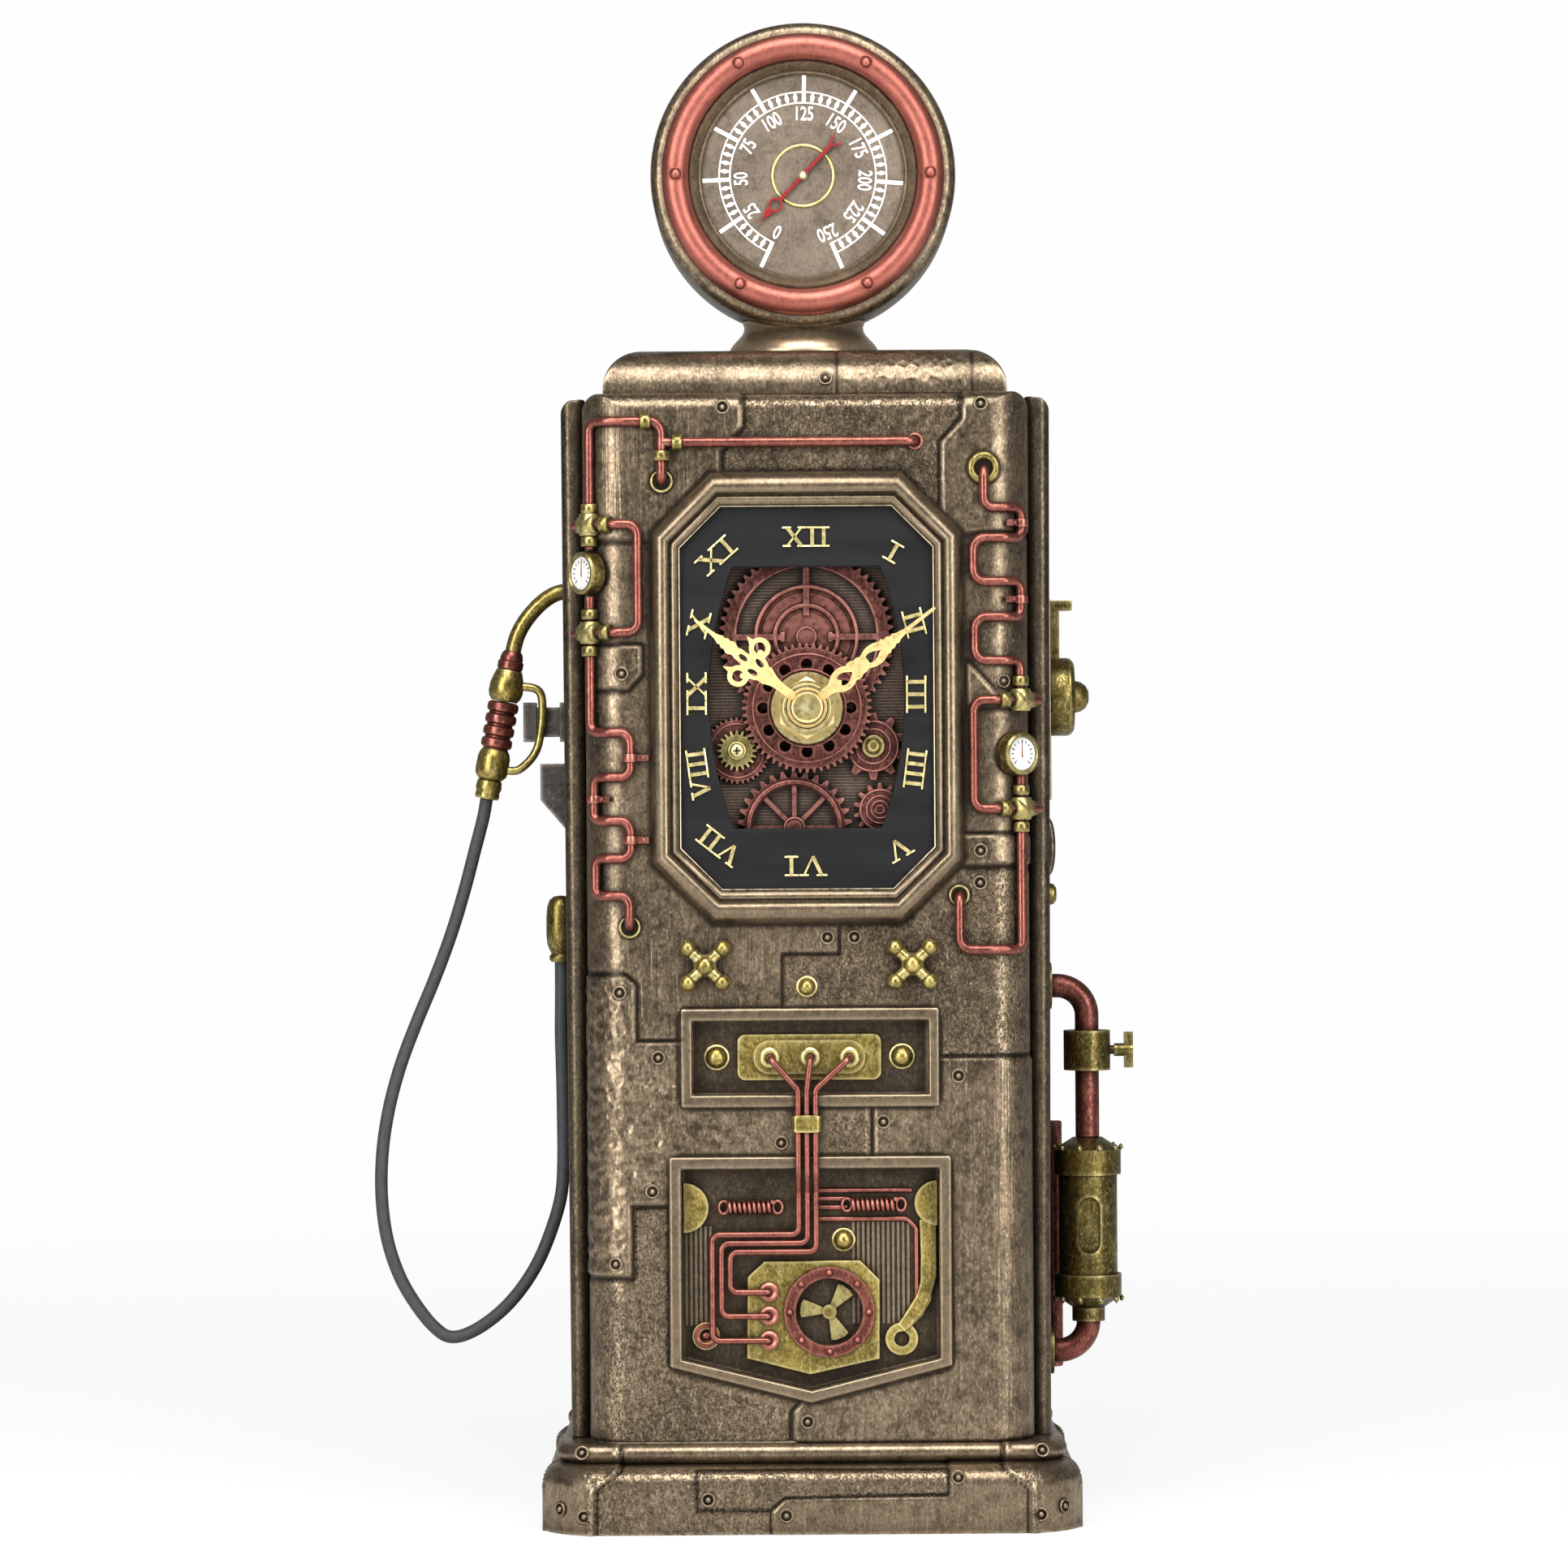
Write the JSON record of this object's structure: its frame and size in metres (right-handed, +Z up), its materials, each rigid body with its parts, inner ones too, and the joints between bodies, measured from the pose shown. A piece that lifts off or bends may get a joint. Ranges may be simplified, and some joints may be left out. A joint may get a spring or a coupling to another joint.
{
  "type": "desk clock",
  "caption": "Desk clock shaped like an old petrol pump, with a dial over relief gears, a round gauge head, copper pipes and a hose with its nozzle.",
  "frame": {"origin": "middle of the plinth's flat underside", "axes": "+Z up, the dial faces -Y, +X to the right of someone facing the dial"},
  "size_m": [0.1536, 0.0888, 0.2983],
  "materials": {
    "bronze": "cast resin with a hammered antique bronze finish",
    "copper": "cast resin with a copper finish",
    "brass_paint": "cast resin with an antique brass finish",
    "gear_copper": "cast resin with a dark copper finish",
    "gear_ground": "dark brown cast resin",
    "dial_black": "matt black",
    "numeral_gold": "gold paint",
    "hand_metal": "polished stamped brass",
    "brass_metal": "turned brass",
    "wheel_plastic": "moulded natural plastic",
    "movement_black": "moulded black plastic",
    "circuit": "circuit board with a wound coil",
    "cell": "cell with a plain label",
    "steel_dark": "blackened steel",
    "needle_red": "red paint",
    "hose_rubber": "dark grey rubber"
  },
  "bodies": {
    "casing": {"base_plinth": "bronze", "base_corner_guards": "bronze", "case_shell": "bronze", "left_side_panel": "bronze", "right_side_panel": "bronze", "back_panel": "bronze", "roof_cap": "bronze", "gauge_neck": "bronze", "gauge_housing": "bronze", "clock_bezel": "bronze", "panel_frames": "bronze", "porthole_ring": "bronze", "nozzle_holder": "bronze", "lever_plate": "bronze", "gauge_bezel": "copper", "left_pipe": "copper", "right_pipe": "copper", "supply_pipes": "copper", "engine_springs": "copper", "loop_pipe": "copper", "brass_pinion": "brass_paint", "pipe_fittings": "brass_paint", "mini_gauges": "brass_paint", "terminal_plate": "brass_paint", "engine_plate": "brass_paint", "engine_brackets": "brass_paint", "brass_studs": "brass_paint", "hose_gland": "brass_paint", "loop_filter": "brass_paint", "loop_fittings": "brass_paint", "top_gear": "gear_copper", "centre_gear": "gear_copper", "bottom_gear": "gear_copper", "small_gears": "gear_copper", "gear_plate": "gear_ground", "dial_plate": "dial_black", "gauge_dial": "dial_black", "dial_numerals": "numeral_gold", "movement_fixings": "brass_metal", "movement_case": "movement_black", "movement_back": "movement_black", "quartz_drive": "circuit", "battery": "cell", "case_screws": "steel_dark", "hose": "hose_rubber"},
    "minute": {"minute_hand": "hand_metal", "hand_cap": "hand_metal", "minute_arbor": "wheel_plastic"},
    "hour": {"hour_hand": "hand_metal", "hour_wheel": "wheel_plastic"},
    "intermediate": {"minute_wheel": "wheel_plastic"},
    "setting": {"set_knob": "movement_black"},
    "needle": {"gauge_needle": "needle_red"},
    "left_valve": {"left_valve_handle": "brass_paint"},
    "right_valve": {"right_valve_handle": "brass_paint"},
    "fan_rotor": {"fan": "brass_paint"},
    "lever": {"side_lever": "brass_paint"},
    "tap": {"loop_tap": "brass_paint"},
    "nozzle": {"nozzle_body": "brass_paint", "nozzle_grip": "copper"}
  },
  "joints": [
    {"name": "minute_hand_turn", "type": "hinge", "parent": "casing", "child": "minute", "pos_m": [0, -0.042, 0.161], "axis": [0, 1, 0], "continuous": true},
    {"name": "hour_hand_turn", "type": "hinge", "parent": "casing", "child": "hour", "pos_m": [0, -0.04, 0.161], "axis": [0, 1, 0], "continuous": true},
    {"name": "minute_wheel_turn", "type": "hinge", "parent": "casing", "child": "intermediate", "pos_m": [0, -0.026, 0.17], "axis": [0, 1, 0], "continuous": true},
    {"name": "set_knob_turn", "type": "hinge", "parent": "casing", "child": "setting", "pos_m": [0.01125, -0.02, 0.17], "axis": [0, 1, 0], "continuous": true},
    {"name": "gauge_needle_turn", "type": "hinge", "parent": "casing", "child": "needle", "pos_m": [0, -0.0125, 0.2678], "axis": [0, 1, 0], "range_deg": [-18.5, 293.8]},
    {"name": "left_valve_turn", "type": "hinge", "parent": "casing", "child": "left_valve", "pos_m": [-0.0203, -0.036, 0.1107], "axis": [0, 1, 0], "range_deg": [-180, 180]},
    {"name": "right_valve_turn", "type": "hinge", "parent": "casing", "child": "right_valve", "pos_m": [0.0203, -0.036, 0.1107], "axis": [0, 1, 0], "range_deg": [-180, 180]},
    {"name": "fan_turn", "type": "hinge", "parent": "casing", "child": "fan_rotor", "pos_m": [0.0036, -0.033, 0.0425], "axis": [0, 1, 0], "continuous": true},
    {"name": "side_lever_turn", "type": "hinge", "parent": "casing", "child": "lever", "pos_m": [0.05, 0.004, 0.1634], "axis": [1, 0, 0], "range_deg": [-60, 60]},
    {"name": "loop_tap_turn", "type": "hinge", "parent": "casing", "child": "tap", "pos_m": [0.062, -0.002, 0.092], "axis": [1, 0, 0], "range_deg": [0, 90]},
    {"name": "nozzle_pull", "type": "slide", "parent": "casing", "child": "nozzle", "axis": [-1, 0, 0], "range_m": [0, 0.02], "deforming": ["hose"]}
  ],
  "couplings": [
    {"joint": "hour_hand_turn", "follows": "minute_hand_turn", "ratio": 0.083333},
    {"joint": "minute_wheel_turn", "follows": "minute_hand_turn", "ratio": -0.33333},
    {"joint": "set_knob_turn", "follows": "minute_hand_turn", "ratio": 0.5}
  ]
}
